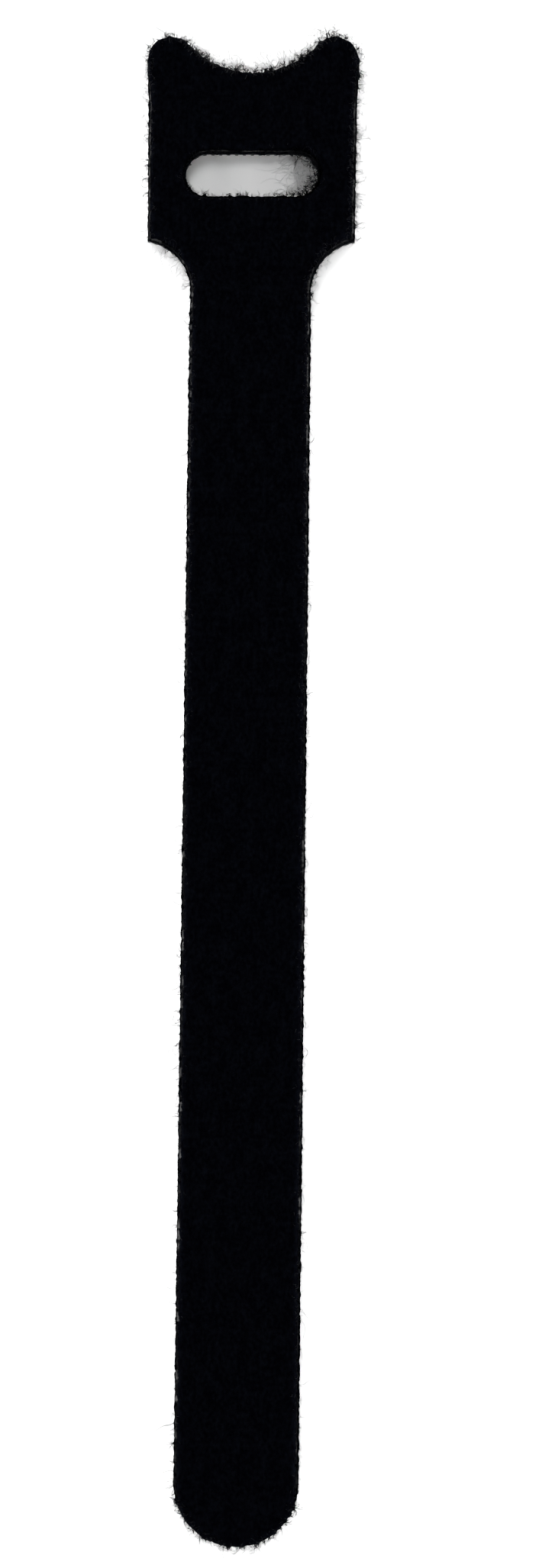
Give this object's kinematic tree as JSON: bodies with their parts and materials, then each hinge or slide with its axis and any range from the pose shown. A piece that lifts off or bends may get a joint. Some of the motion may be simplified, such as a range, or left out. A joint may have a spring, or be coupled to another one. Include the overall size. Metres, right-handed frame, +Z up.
{
  "type": "hook and loop cable tie",
  "caption": "Flat reusable hook and loop cable tie: a round-ended strap with a wider, notched head, slotted for the strap to thread through.",
  "frame": {"origin": "centre of the tie's outline on the plane that the hook tips stand on", "axes": "+Y along the tie from its round end to its slotted head, +X across it, +Z up from the hook side to the loop side"},
  "size_m": [0.0208, 0.15, 0.002],
  "materials": {
    "loop_pile": "black napped nylon loop pile, matt, with a fused glossier rim along each cut edge",
    "hook_film": "black moulded nylon film with rows of small hooks, satin"
  },
  "bodies": {
    "root": {"loop_tape": "loop_pile", "hook_tape": "hook_film"}
  },
  "joints": []
}
